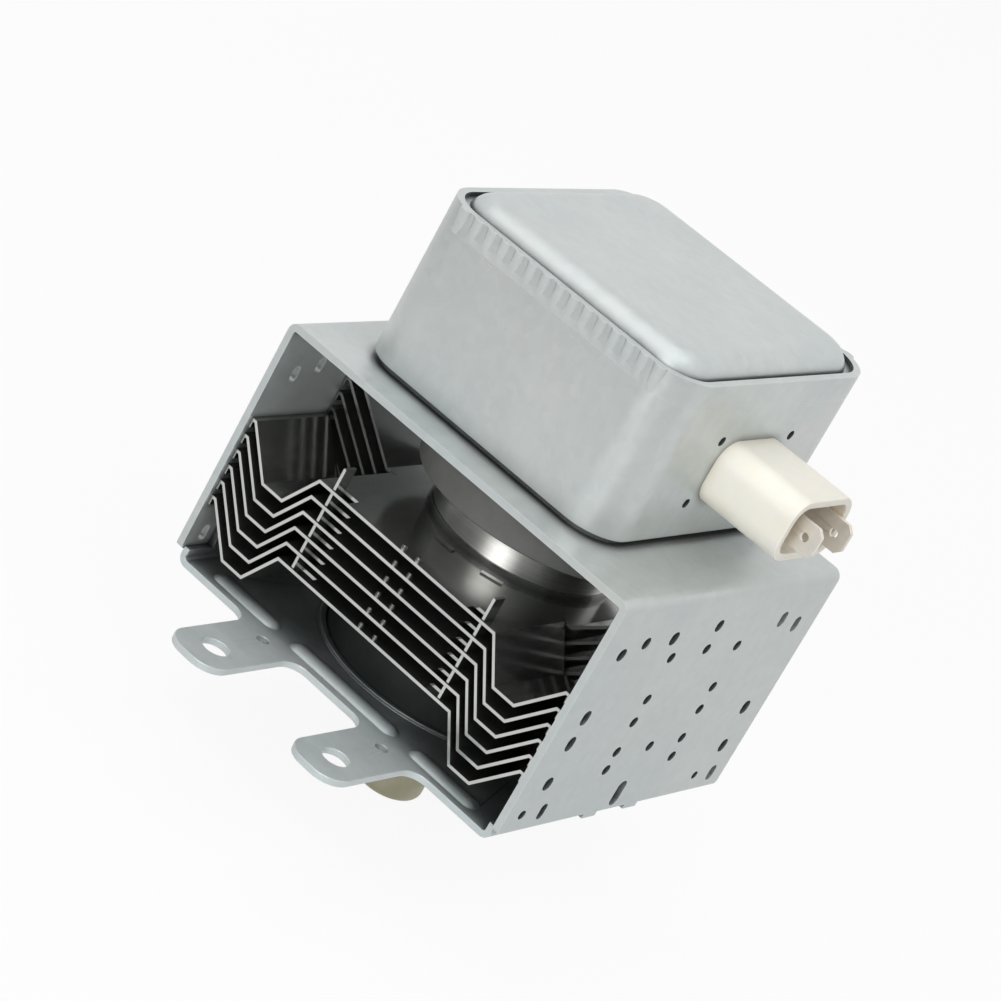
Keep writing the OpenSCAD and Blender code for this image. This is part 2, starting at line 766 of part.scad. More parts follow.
module pips() {
    h = fin_t / 2 + pip_rise;
    for (sx = [-1, 1], sy = [-1, 1])
        translate([sx * fin_pip_gap / 2, sy * (fin_d / 2 - fin_pip_d), 0])
            cylinder(d1 = fin_pip_d, d2 = fin_pip_d * 0.6, h = h);
}

// Small lanced bridges beside the collar
module bridges() {
    r = anode_r + fin_collar_t + bridge_out;
    for (a = [-94, -66, 86, 114]) rotate([0, 0, a]) translate([r, 0, fin_t / 2])
        cube([bridge[0], bridge[1], fin_t], center = true);
}

module fin(tab_h) {
    side = (fin_d - fin_mid_d) / 2 - fin_slit;
    mid_w = fin_flat_w - 2 * fin_t;
    difference() {
        union() {
            along_y(-fin_d / 2, -fin_d / 2 + side) polygon(strip(both(fin_half), fin_t));
            along_y(fin_d / 2 - side, fin_d / 2) polygon(strip(both(fin_half), fin_t));
            along_y(-fin_mid_d / 2, fin_mid_d / 2) polygon(strip(both(fin_mid_half), fin_t));
            cube([mid_w, fin_mid_d + 4 * fin_slit, fin_t], center = true);
            disc(anode_r + fin_collar_t, -fin_t / 2, fin_collar_h - fin_t / 2);
            spacer_tabs(tab_h);
            pips();
            bridges();
        }
        disc(anode_r, -cut, fin_collar_h + cut);
        tab_windows();
    }
}

module fin_at(k, tab_h) at_z(fin_z6 + (6 - k) * fin_pitch) fin(tab_h);

module fin_1() color(alu) fin_at(1, fin_top_tab_h);

module fin_2() color(alu) fin_at(2, fin_pitch - fin_t);

module fin_3() color(alu) fin_at(3, fin_pitch - fin_t);

module fin_4() color(alu) fin_at(4, fin_pitch - fin_t);

module fin_5() color(alu) fin_at(5, fin_pitch - fin_t);

module fin_6() color(alu) fin_at(6, fin_pitch - fin_t);

// Filter box

module case_block(inset, z0, z1) {
    translate([case_x, case_y, z0]) linear_extrude(height = z1 - z0)
        rrect(case_w - 2 * inset, case_d - 2 * inset, case_r - inset);
}

skirt_z = rim_z - lid_skirt_h;
channel_z = rim_z - lid_channel_h;
lid_under = channel_z - lid_t;

module socket_outline(grow) {
    translate([socket_y, socket_mid])
        rrect(socket_w + 2 * grow, socket_h + 2 * grow, socket_r + grow);
}

module filter_case() color(zinc) {
    difference() {
        union() {
            case_block(case_foot_in, case_z0, case_z0 + case_foot_h + cut);
            case_block(0, case_z0 + case_foot_h, skirt_z);
            case_block(lid_t, skirt_z - cut, lid_under);
        }
        case_block(case_t, case_z0 + case_foot_h + case_t, skirt_z - case_t);
        case_block(lid_t + case_t, skirt_z - case_t - cut, rim_z);
        case_block(case_foot_in + case_t, case_z0 + case_t, case_z0 + case_foot_h + case_t + cut);
        at_z(case_z0 - cut) cylinder(d = tube_hole_d, h = case_foot_h + 2 * case_t + 2 * cut);
        along_x(wall_x - case_t - cut, wall_x + cut) socket_outline(0);
        for (sy = [-1, 1], sz = [-1, 1])
            translate([0, socket_y + sy * stake_span_y / 2, socket_mid + sz * stake_span_z / 2])
                along_x(wall_x - case_t - cut, wall_x + cut) circle(d = stake_d);
    }
}

// Raised panel of the lid: a flat with rounded shoulders and round corners
module panel_edge(r, run, rise) {
    intersection() {
        square([run, rise]);
        translate([run, rise - r]) circle(r);
    }
}

module panel(w, d, rc, run, rise) {
    r = (run * run + rise * rise) / (2 * rise);
    flat_r = rc - run;
    lx = w - 2 * rc;
    ly = d - 2 * rc;
    translate([-w / 2 + run, -ly / 2, 0]) cube([w - 2 * run, ly, rise]);
    translate([-lx / 2, -d / 2 + run, 0]) cube([lx, d - 2 * run, rise]);
    for (s = [0, 180]) rotate([0, 0, s]) {
        translate([-w / 2, 0, 0]) along_y(-ly / 2, ly / 2) panel_edge(r, run, rise);
        translate([0, -d / 2, 0]) along_x(-lx / 2, lx / 2) panel_edge(r, run, rise);
    }
    for (q = [[1, 1, 0], [-1, 1, 90], [-1, -1, 180], [1, -1, 270]])
        translate([q[0] * lx / 2, q[1] * ly / 2, 0]) rotate([0, 0, q[2]])
            rotate_extrude(angle = 90) {
                square([flat_r, rise]);
                translate([rc, 0]) mirror([1, 0]) panel_edge(r, run, rise);
            }
}

// The panel's outer face, or its inner face when drawn smaller by the sheet's thickness
module lid_panel(t) {
    in = lid_rim + lid_channel_w + t;
    translate([case_x, case_y, channel_z - t])
        panel(case_w - 2 * in, case_d - 2 * in, lid_corner_r - t, lid_shoulder,
              lid_rise + lid_channel_h);
}

// Leaning ridges on the front and back of the skirt; each starts above its lower edge
ridge_start = 0.1;

module crimp_ridges() {
    step = (case_w - 2 * case_r) / (ridge_count - 2);
    rise = lid_skirt_h * (1 - ridge_start);
    intersection() {
        for (t = [0, 180], k = [0 : ridge_count - 1])
            translate([case_x, case_y, rim_z - rise]) rotate([0, 0, t])
                translate([(k - (ridge_count - 1) / 2) * step, -case_d / 2 + ridge_r, 0])
                    rotate([atan(ridge_out / rise), 0, 0])
                        translate([0, 0, -rise]) cylinder(r = ridge_r, h = 3 * rise);
        translate([case_x - case_w / 2, case_y - case_d, skirt_z])
            cube([case_w, 2 * case_d, lid_skirt_h]);
    }
}

module filter_lid() color(zinc) {
    difference() {
        union() {
            difference() {
                union() {
                    case_block(0, skirt_z, rim_z);
                    crimp_ridges();
                }
                case_block(lid_rim, channel_z, rim_z + cut);
            }
            lid_panel(0);
        }
        case_block(lid_t, skirt_z - cut, lid_under);
        lid_panel(lid_t);
    }
}

// Terminal socket and filter parts

socket_x0 = wall_x - case_t;
socket_x1 = wall_x + socket_len;
flange_t = 0.8;
body_len = 8;
body_in = 0.6;
tab_tail = 3;
body_x0 = socket_x0 - flange_t - body_len;

module tab_at(s) {
    translate([0, socket_y + s * tab_gap / 2, socket_mid]) children();
}

module socket_housing() color(cream) {
    difference() {
        along_x(socket_x0, socket_x1) socket_outline(0);
        along_x(socket_x1 - socket_depth, socket_x1 + cut) socket_outline(-socket_wall);
        for (s = [-1, 1]) tab_at(s)
            along_x(socket_x0 - cut, socket_x1) square([tab_t, tab_w], center = true);
    }
}

module terminal_tab() {
    x1 = socket_x1 + tab_out;
    x0 = body_x0 - tab_tail;
    tip = tab_w * 0.2;
    difference() {
        translate([0, tab_t / 2, 0]) rotate([90, 0, 0]) linear_extrude(height = tab_t)
            polygon([
                [x0, -tab_w / 2], [x1 - tip, -tab_w / 2], [x1, -tab_w / 2 + tip],
                [x1, tab_w / 2 - tip], [x1 - tip, tab_w / 2], [x0, tab_w / 2]
            ]);
        translate([x1 - tab_w / 2, cut, 0]) rotate([90, 0, 0])
            cylinder(d = tab_w * 0.27, h = 2 * cut);
    }
}

module terminal_tab_a() color(steel) tab_at(-1) terminal_tab();

module terminal_tab_b() color(steel) tab_at(1) terminal_tab();

module capacitor_flange() color(steel) {
    w = stake_span_y + 3 * stake_d;
    h = stake_span_z + 3 * stake_d;
    difference() {
        along_x(socket_x0 - flange_t, socket_x0) translate([socket_y, socket_mid])
            square([w, h], center = true);
        for (s = [-1, 1]) tab_at(s)
            along_x(socket_x0 - flange_t - cut, socket_x0 + cut)
                square([tab_t + 2 * flange_t, tab_w + 2 * flange_t], center = true);
    }
}

module capacitor_body() color(brass) {
    difference() {
        along_x(body_x0, socket_x0 - flange_t) socket_outline(-body_in);
        for (s = [-1, 1]) tab_at(s)
            along_x(body_x0 - cut, socket_x0) square([tab_t, tab_w], center = true);
    }
}

// Choke coils lie along x, one on each side of the socket's middle
coil_side = 18;
coil_lead_d = wire_d * 0.6;
coil_lead_r = coil_d / 2 - wire_d * 0.65;
coil_lead_z = stem_top + term_t + coil_lead_d / 2;
coil_z = coil_lead_z + coil_lead_r;
coil_set = 9.3;
coil_x1 = body_x0 - coil_set;
coil_x0 = coil_x1 - coil_len;
coil_bend = 2;
coil_groove = wire_d * 0.3;
rod_d = coil_d - 2 * wire_d;
rod_out = 1;
wire_bend = 1.15;
stem_lead_end = [4.4, 0.8];

module rod(a, b, d) {
    v = b - a;
    translate(a) rotate([0, acos(v[2] / norm(v)), atan2(v[1], v[0])]) cylinder(d = d, h = norm(v));
}

// A bent wire; its bends are a little thicker than its straight lengths
module wire(pts, d) {
    last = len(pts) - 1;
    for (i = [1 : last]) rod(pts[i - 1], pts[i], d);
    for (i = [1 : last - 1]) translate(pts[i]) sphere(d = d * wire_bend);
}

// Drawn for the front side, with y counted from the socket's middle
module choke(stem_x, stem_y) {
    y = -coil_side;
    turns = floor(coil_len / wire_d);
    tab_x = body_x0 - tab_tail + coil_lead_d / 2;
    tab_y = -(tab_gap / 2 + tab_t / 2 + coil_lead_d * wire_bend / 2);
    translate([coil_x0, y, coil_z]) rotate([0, 90, 0])
        wound(coil_d / 2, coil_d / 2 - wire_d, coil_groove, 0, coil_len, turns);
    wire([[coil_x1 - wire_d / 2, y, coil_lead_z], [coil_x1 + coil_bend, y, coil_lead_z],
          [tab_x, tab_y, socket_mid]], coil_lead_d);
    translate([tab_x, tab_y, socket_mid]) sphere(d = coil_lead_d * wire_bend);
    wire([[coil_x0 + wire_d / 2, y, coil_lead_z], [coil_x0 - coil_bend, y, coil_lead_z],
          [coil_x0 - coil_bend, y + coil_d * 0.9, coil_lead_z],
          [stem_x, stem_y, coil_lead_z]], coil_lead_d);
}

module choke_coil_a() color(copper) translate([0, socket_y, 0])
    choke(-stem_lead_end[0], -stem_lead_end[1] - socket_y);

module choke_coil_b() color(copper) translate([0, socket_y, 0]) mirror([0, 1, 0])
    choke(stem_lead_end[0], socket_y - stem_lead_end[1]);

module ferrite_rod(s) {
    translate([coil_x0 - rod_out, socket_y + s * coil_side, coil_z]) rotate([0, 90, 0])
        cylinder(d = rod_d, h = coil_len + 2 * rod_out);
}

module ferrite_rod_a() color(ferrite) ferrite_rod(-1);

module ferrite_rod_b() color(ferrite) ferrite_rod(1);

yoke_frame();
mounting_plate();
upper_magnet();
lower_magnet();
anode_shell();
anode_vanes();
strap_rings();
upper_pole_piece();
lower_pole_piece();
upper_seal_cup();
lower_seal_cup();
cathode_filament();
cathode_center_lead();
cathode_side_lead();
stem_ceramic();
stem_terminal_a();
stem_terminal_b();
antenna_ceramic();
antenna_lead();
exhaust_tube();
antenna_cap();
rf_gasket();
gasket_retainer();
fin_1();
fin_2();
fin_3();
fin_4();
fin_5();
fin_6();
filter_case();
filter_lid();
socket_housing();
terminal_tab_a();
terminal_tab_b();
capacitor_flange();
capacitor_body();
choke_coil_a();
choke_coil_b();
ferrite_rod_a();
ferrite_rod_b();
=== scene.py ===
import json
import math

import bpy
from mathutils import Matrix, Vector

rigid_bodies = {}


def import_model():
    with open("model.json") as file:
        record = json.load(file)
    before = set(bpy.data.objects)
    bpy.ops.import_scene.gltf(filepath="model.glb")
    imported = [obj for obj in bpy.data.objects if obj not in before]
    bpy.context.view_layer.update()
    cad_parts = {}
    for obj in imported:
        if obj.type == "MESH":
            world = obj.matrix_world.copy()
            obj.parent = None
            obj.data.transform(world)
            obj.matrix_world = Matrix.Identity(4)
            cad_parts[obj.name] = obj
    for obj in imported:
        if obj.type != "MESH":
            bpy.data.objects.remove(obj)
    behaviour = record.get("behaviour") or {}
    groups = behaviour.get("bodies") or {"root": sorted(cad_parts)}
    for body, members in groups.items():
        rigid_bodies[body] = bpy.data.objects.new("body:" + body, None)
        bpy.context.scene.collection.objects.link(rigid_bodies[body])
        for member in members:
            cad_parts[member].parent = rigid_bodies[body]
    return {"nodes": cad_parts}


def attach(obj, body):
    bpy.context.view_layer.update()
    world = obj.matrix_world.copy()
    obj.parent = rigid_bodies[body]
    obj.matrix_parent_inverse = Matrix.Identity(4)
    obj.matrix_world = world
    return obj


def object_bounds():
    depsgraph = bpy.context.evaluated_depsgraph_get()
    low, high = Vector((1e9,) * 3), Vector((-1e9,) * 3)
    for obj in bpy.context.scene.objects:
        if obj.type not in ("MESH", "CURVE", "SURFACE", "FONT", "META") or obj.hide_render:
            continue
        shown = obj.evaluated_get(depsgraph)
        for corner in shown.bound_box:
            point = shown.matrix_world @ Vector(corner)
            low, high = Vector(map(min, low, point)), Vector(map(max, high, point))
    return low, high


# The cube, lamp and camera of the start-up file go first
for stale in list(bpy.data.objects):
    bpy.data.objects.remove(stale)

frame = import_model()
bpy.context.view_layer.update()
cad_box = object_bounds()
nodes = frame["nodes"]
scene = bpy.context.scene

MM = 0.001
WHITE = (1, 1, 1, 1)
BLACK = (0, 0, 0, 1)
FINS = [name for name in nodes if name.startswith("fin_")]

# Camera, solved on the photograph: lens, place, image right and view direction
LENS = 133.84
SENSOR = 36
CLIP_NEAR = 0.01
CLIP_FAR = 50
CAM_PLACE = Vector((294.84, -577.91, 299.23)) * MM
CAM_RIGHT = Vector((0.6875, 0.5667, 0.4541)).normalized()
CAM_FORWARD = Vector((-0.4304, 0.8216, -0.3738)).normalized()


def make_camera():
    data = bpy.data.cameras.new("camera")
    data.lens = LENS
    data.sensor_width = SENSOR
    data.clip_start = CLIP_NEAR
    data.clip_end = CLIP_FAR
    cam = bpy.data.objects.new("camera", data)
    right = (CAM_RIGHT - CAM_FORWARD * CAM_RIGHT.dot(CAM_FORWARD)).normalized()
    up = right.cross(CAM_FORWARD)
    turn = Matrix((right, up, -CAM_FORWARD)).transposed()
    cam.matrix_world = Matrix.Translation(CAM_PLACE) @ turn.to_4x4()
    scene.collection.objects.link(cam)
    scene.camera = cam


make_camera()


# Node helpers

# The part of its range in which most of a noise lies
NOISE_LO = 0.3
NOISE_HI = 0.7
# Angles between true and rounded normal, as cosines, at which an edge begins and is full
EDGE_BEGIN = 0.98
EDGE_FULL = 0.8
BEVEL_SAMPLES = 4
OCCLUSION_SAMPLES = 6


def srgb(r, g, b):
    """A colour written as 0 to 255, for a shader socket."""
    def lin(v):
        v = v / 255
        return v / 12.92 if v <= 0.04045 else ((v + 0.055) / 1.055) ** 2.4
    return (lin(r), lin(g), lin(b), 1)


def connect(tree, socket, value):
    """Link the socket to another node's output, or set it to a plain value."""
    if isinstance(value, bpy.types.NodeSocket):
        tree.links.new(value, socket)
    else:
        socket.default_value = value


class Tree:
    """A short way to write a material's nodes."""

    def __init__(self, name):
        self.mat = bpy.data.materials.new(name)
        self.mat.use_nodes = True
        self.tree = self.mat.node_tree
        self.bsdf = self.tree.nodes["Principled BSDF"]
        self.coord = self.add("ShaderNodeTexCoord").outputs["Object"]

    def add(self, kind, **props):
        node = self.tree.nodes.new(kind)
        for key, value in props.items():
            setattr(node, key, value)
        return node

    def put(self, node, **values):
        """Fill a node's inputs by their names, with an underscore for each space."""
        for key, value in values.items():
            connect(self.tree, node.inputs[key.replace("_", " ")], value)
        return node

    def mapped(self, stretch):
        node = self.put(self.add("ShaderNodeMapping"), Vector=self.coord, Scale=stretch)
        return node.outputs["Vector"]

    def noise(self, scale, detail, rough, stretch=(1, 1, 1)):
        node = self.add("ShaderNodeTexNoise")
        self.put(node, Vector=self.mapped(stretch), Scale=scale, Detail=detail, Roughness=rough)
        return node.outputs["Fac"]

    def cells(self, scale):
        """Cells that each have a grey of their own."""
        node = self.put(self.add("ShaderNodeTexVoronoi"), Vector=self.mapped((1, 1, 1)), Scale=scale)
        parts = self.put(self.add("ShaderNodeSeparateColor"), Color=node.outputs["Color"])
        return parts.outputs["Red"]

    def spread(self, value, lo, hi, to_lo=0.0, to_hi=1.0):
        node = self.add("ShaderNodeMapRange")
        self.put(node, Value=value, From_Min=lo, From_Max=hi, To_Min=to_lo, To_Max=to_hi)
        return node.outputs["Result"]

    def tuned(self, noise, to_lo, to_hi):
        """Most of a noise, spread over another range."""
        return self.spread(noise, NOISE_LO, NOISE_HI, to_lo, to_hi)

    def math(self, operation, a, b):
        node = self.add("ShaderNodeMath", operation=operation)
        connect(self.tree, node.inputs[0], a)
        connect(self.tree, node.inputs[1], b)
        return node.outputs["Value"]

    def mix(self, fac, a, b, blend="MIX"):
        node = self.add("ShaderNodeMix", data_type="RGBA", blend_type=blend)
        ends = [s for s in node.inputs if s.type == "RGBA"]
        connect(self.tree, node.inputs["Factor"], fac)
        connect(self.tree, ends[0], a)
        connect(self.tree, ends[1], b)
        return [s for s in node.outputs if s.type == "RGBA"][0]

    def toned(self, colour, value):
        """The colour times a grey value."""
        node = self.add("ShaderNodeCombineColor")
        for socket in node.inputs:
            connect(self.tree, socket, value)
        return self.mix(1.0, colour, node.outputs["Color"], "MULTIPLY")

    def edge(self, radius):
        """Close to 1 along sharp edges, 0 on open faces."""
        bevel = self.put(self.add("ShaderNodeBevel", samples=BEVEL_SAMPLES), Radius=radius)
        plain = self.add("ShaderNodeNewGeometry")
        dot = self.add("ShaderNodeVectorMath", operation="DOT_PRODUCT")
        connect(self.tree, dot.inputs[0], bevel.outputs["Normal"])
        connect(self.tree, dot.inputs[1], plain.outputs["Normal"])
        return self.spread(dot.outputs["Value"], EDGE_BEGIN, EDGE_FULL)

    def open_share(self, reach, lo=0.1, hi=0.9):
        """0 deep in a recess or between close faces, 1 on open faces."""
        node = self.add("ShaderNodeAmbientOcclusion", samples=OCCLUSION_SAMPLES)
        return self.spread(self.put(node, Distance=reach).outputs["AO"], lo, hi)

    def bump(self, height, distance, strength, below=None):
        node = self.add("ShaderNodeBump")
        self.put(node, Height=height, Distance=distance, Strength=strength)
        if below is not None:
            self.put(node, Normal=below)
        return node.outputs["Normal"]

    def surface(self, **values):
        self.put(self.bsdf, **values)
        return self.mat


# Materials; a noise's scale is in repeats a metre

FINE_DEPTH = 0.02 * MM
GRIT_DEPTH = 0.04 * MM
WAVE_DEPTH = 0.6 * MM
# Painted highlight: a light colour mixed in along the sheet's sharp edges, its reach and its share
ZINC_EDGE_HIGHLIGHT = srgb(230, 234, 233)
ZINC_EDGE_R = 0.5 * MM
ZINC_EDGE_SHARE = 0.35
# Painted shade: the dark colour mixed into recesses, and how far off a face still darkens them
ZINC_PAINTED_SHADE = srgb(52, 56, 56)
ZINC_RECESS = 3 * MM
ZINC_SHINE = 0.5
# Painted shade: how far off a face still darkens recesses in metal and in plastic
METAL_RECESS = 2 * MM
PLASTIC_RECESS = 6 * MM
PLASTIC_GLOW_R = (2 * MM, 1.5 * MM, 1 * MM)
PLASTIC_GLOW_SCALE = 0.6
# Painted shade: how far off a face still darkens the tray and the fins, and how dark each gets at most;
# the tray's shine is dimmed there too
TRAY_SHADE = 18 * MM
TRAY_DARKEST = 0.15
TRAY_SHADED_SHINE = 0.03
FIN_SHADE = 30 * MM
FIN_DARKEST = 0.55


def zinc_sheet(name, warm, cool, rough, grain, metallic=0.55, shade=None):
    """Satin zinc-coated sheet: soft mottling, a faint spangle, rolling grain, a painted highlight on
    sharp edges and painted shade in recesses.
    """
    t = Tree(name)
    clouds = t.spread(t.noise(34, 3, 0.55), 0.36, 0.64)
    spangle = t.spread(t.cells(520), 0, 1, 0.955, 1.0)
    fine = t.noise(420, 1, 0.5, grain)
    colour = t.toned(t.mix(clouds, warm, cool), t.math("ADD", spangle, t.tuned(fine, -0.02, 0.02)))
    # Painted highlight along sharp edges
    painted_edge_highlight = t.math("MULTIPLY", t.edge(ZINC_EDGE_R), ZINC_EDGE_SHARE)
    colour = t.mix(painted_edge_highlight, colour, ZINC_EDGE_HIGHLIGHT)
    # Painted shade in recesses and between close faces
    colour = t.mix(t.open_share(ZINC_RECESS, 0.3, 0.85), ZINC_PAINTED_SHADE, colour)
    shine = ZINC_SHINE
    # Painted shade: colour and shine darkened wherever other faces are near, as deep in the tray
    if shade is not None:
        dim = t.open_share(shade, 0.33, 0.66)
        colour = t.toned(colour, t.spread(dim, 0, 1, TRAY_DARKEST, 1.0))
        shine = t.spread(dim, 0, 1, TRAY_SHADED_SHINE, ZINC_SHINE)
    roughness = t.math("ADD", t.tuned(fine, rough - 0.05, rough + 0.06),
                       t.spread(clouds, 0, 1, -0.03, 0.03))
    wave = t.bump(t.noise(26, 2, 0.5), WAVE_DEPTH, 0.1)
    return t.surface(Base_Color=colour, Metallic=metallic, Roughness=roughness,
                     Specular_IOR_Level=shine, Normal=t.bump(fine, FINE_DEPTH, 0.2, wave))


def plain_metal(name, colour, second, rough, scale=500, grain=(1, 1, 1), deep=None, metallic=1.0,
                shade=None):
    """Drawn or rolled metal with a fine grain and cloudy tone, and painted shade where little light gets
    in.
    """
    t = Tree(name)
    clouds = t.spread(t.noise(70, 3, 0.6), 0.35, 0.65)
    fine = t.noise(scale, 3, 0.6, grain)
    tone = t.toned(t.mix(clouds, colour, second), t.tuned(fine, 0.94, 1.0))
    # Painted shade: the deep colour in recesses
    if deep is not None:
        tone = t.mix(t.open_share(METAL_RECESS), deep, tone)
    # Painted shade: darker wherever other faces are near
    if shade is not None:
        tone = t.toned(tone, t.spread(t.open_share(shade, 0.2, 0.7), 0, 1, FIN_DARKEST, 1.0))
    return t.surface(Base_Color=tone, Metallic=metallic,
                     Roughness=t.tuned(fine, rough * 0.85, rough * 1.2),
                     Normal=t.bump(fine, FINE_DEPTH, 0.5))


def turned(name, colour, second, rough):
    """Bright metal turned on a lathe about Z: fine rings that stretch the highlight upright."""
    t = Tree(name)
    rings = t.noise(300, 3, 0.6, (0.1, 0.1, 12))
    tone = t.mix(t.spread(rings, 0.35, 0.65), colour, second)
    around = t.add("ShaderNodeTangent", direction_type="RADIAL", axis="Z")
    return t.surface(Base_Color=tone, Metallic=1.0, Tangent=around.outputs["Tangent"],
                     Anisotropic=0.95, Anisotropic_Rotation=0.25,
                     Roughness=t.tuned(rings, rough * 0.9, rough * 1.15))


def sintered(name, colour, second, rough, shine=0.5):
    """Dull pressed and ground grain, as on ferrite or raw ceramic."""
    t = Tree(name)
    clouds = t.spread(t.noise(90, 4, 0.6), 0.35, 0.65)
    grit = t.noise(2600, 3, 0.7)
    tone = t.toned(t.mix(clouds, colour, second), t.tuned(grit, 0.86, 1.0))
    return t.surface(Base_Color=tone, Roughness=t.tuned(grit, rough - 0.08, rough + 0.08),
                     Specular_IOR_Level=shine, Normal=t.bump(grit, GRIT_DEPTH, 0.6))


def moulded(name, colour, second, rough, deep, glow=0.0):
    """Satin moulded plastic with a very fine texture, and painted shade of a deeper colour inside
    hollows.
    """
    t = Tree(name)
    clouds = t.spread(t.noise(110, 3, 0.55), 0.35, 0.65)
    skin = t.noise(3800, 2, 0.5)
    # Painted shade: the deeper colour inside hollows
    tone = t.mix(t.open_share(PLASTIC_RECESS, 0.05, 0.6), deep, t.mix(clouds, colour, second))
    return t.surface(Base_Color=tone, Subsurface_Weight=glow, Subsurface_Radius=PLASTIC_GLOW_R,
                     Subsurface_Scale=PLASTIC_GLOW_SCALE,
                     Roughness=t.tuned(skin, rough - 0.05, rough + 0.07),
                     Normal=t.bump(skin, FINE_DEPTH, 0.5))


mat_yoke = zinc_sheet("zinc_yoke", srgb(201, 206, 204), srgb(196, 203, 203), rough=0.36,
                      grain=(1, 0.25, 1), metallic=0.42)
# The plate's tray gets painted shade deep inside, under the fins
mat_plate = zinc_sheet("zinc_plate", srgb(207, 214, 214), srgb(200, 210, 211), rough=0.38,
                       grain=(0.25, 1, 1), metallic=0.25, shade=TRAY_SHADE)
mat_case = zinc_sheet("zinc_case", srgb(205, 208, 206), srgb(199, 205, 204), rough=0.34,
                      grain=(1, 1, 0.25))
mat_lid = zinc_sheet("zinc_lid", srgb(204, 208, 206), srgb(198, 205, 204), rough=0.34,
                     grain=(1, 0.25, 1))
# Fins: painted shade in the gaps between them and deep inside the yoke
mat_fin = plain_metal("fin_aluminium", srgb(204, 205, 202), srgb(190, 192, 190), rough=0.15, scale=700,
                      grain=(1, 0.2, 1), deep=srgb(112, 110, 105), metallic=0.94, shade=FIN_SHADE)
mat_steel = plain_metal("bare_steel", srgb(180, 181, 182), srgb(160, 162, 164), rough=0.38)
mat_copper = plain_metal("copper", srgb(205, 140, 105), srgb(184, 120, 88), rough=0.38)
mat_anode = turned("turned_anode", srgb(242, 241, 237), srgb(230, 229, 225), rough=0.44)
mat_tin = plain_metal("tinned_blade", srgb(238, 233, 224), srgb(224, 217, 206), rough=0.34, scale=900,
                      metallic=0.6)
mat_cap = plain_metal("antenna_cap", srgb(158, 155, 136), srgb(134, 130, 110), rough=0.4, scale=800,
                      grain=(1, 1, 0.15))
mat_mesh = plain_metal("gasket_wire", srgb(200, 190, 160), srgb(168, 158, 128), rough=0.35, scale=900)
mat_wad = plain_metal("gasket_wad", srgb(96, 90, 74), srgb(70, 65, 52), rough=0.5, scale=1600)
mat_magnet = sintered("ferrite_ground", srgb(116, 117, 114), srgb(102, 103, 100), rough=0.5)
mat_ferrite = sintered("ferrite_raw", srgb(46, 48, 47), srgb(37, 39, 39), rough=0.42, shine=0.2)
mat_ceramic = sintered("alumina", srgb(236, 230, 222), srgb(228, 218, 208), rough=0.5)
# Tan painted shade inside the socket's mouth; the resin body gets a darker painted shade in its hollows
mat_socket = moulded("socket_plastic", srgb(253, 249, 238), srgb(249, 244, 231), rough=0.4,
                     deep=srgb(214, 196, 160), glow=0.2)
mat_resin = moulded("cast_resin", srgb(150, 122, 84), srgb(132, 104, 70), rough=0.4,
                    deep=srgb(104, 80, 52))

# Nodes that aren't named here are of bare steel
LOOKS = {
    "yoke_frame": mat_yoke, "mounting_plate": mat_plate, "filter_case": mat_case,
    "filter_lid": mat_lid, "upper_magnet": mat_magnet, "lower_magnet": mat_ferrite,
    "ferrite_rod_a": mat_ferrite, "ferrite_rod_b": mat_ferrite, "anode_shell": mat_anode,
    "anode_vanes": mat_copper, "strap_rings": mat_copper, "antenna_lead": mat_copper,
    "exhaust_tube": mat_copper, "choke_coil_a": mat_copper, "choke_coil_b": mat_copper,
    "terminal_tab_a": mat_tin, "terminal_tab_b": mat_tin, "stem_ceramic": mat_ceramic,
    "antenna_ceramic": mat_ceramic, "antenna_cap": mat_cap, "rf_gasket": mat_wad,
    "socket_housing": mat_socket, "capacitor_body": mat_resin,
}
LOOKS.update({name: mat_fin for name in FINS})


# Clean shading and softened edges on the solids

SHARP = math.radians(32)
MERGE_DISTANCE = 0.002 * MM
BEVEL_SEGMENTS = 2
FIN_BEVEL = 0.07
# Width of the softened edges in mm; nodes that aren't named here keep theirs sharp
BEVELS = {
    "yoke_frame": 0.16, "mounting_plate": 0.16, "filter_case": 0.1, "filter_lid": 0.06,
    "upper_magnet": 0.5, "lower_magnet": 0.5, "socket_housing": 0.3, "terminal_tab_a": 0.1,
    "terminal_tab_b": 0.1, "gasket_retainer": 0.12, "antenna_cap": 0.12, "antenna_ceramic": 0.15,
}
BEVELS.update({name: FIN_BEVEL for name in FINS})


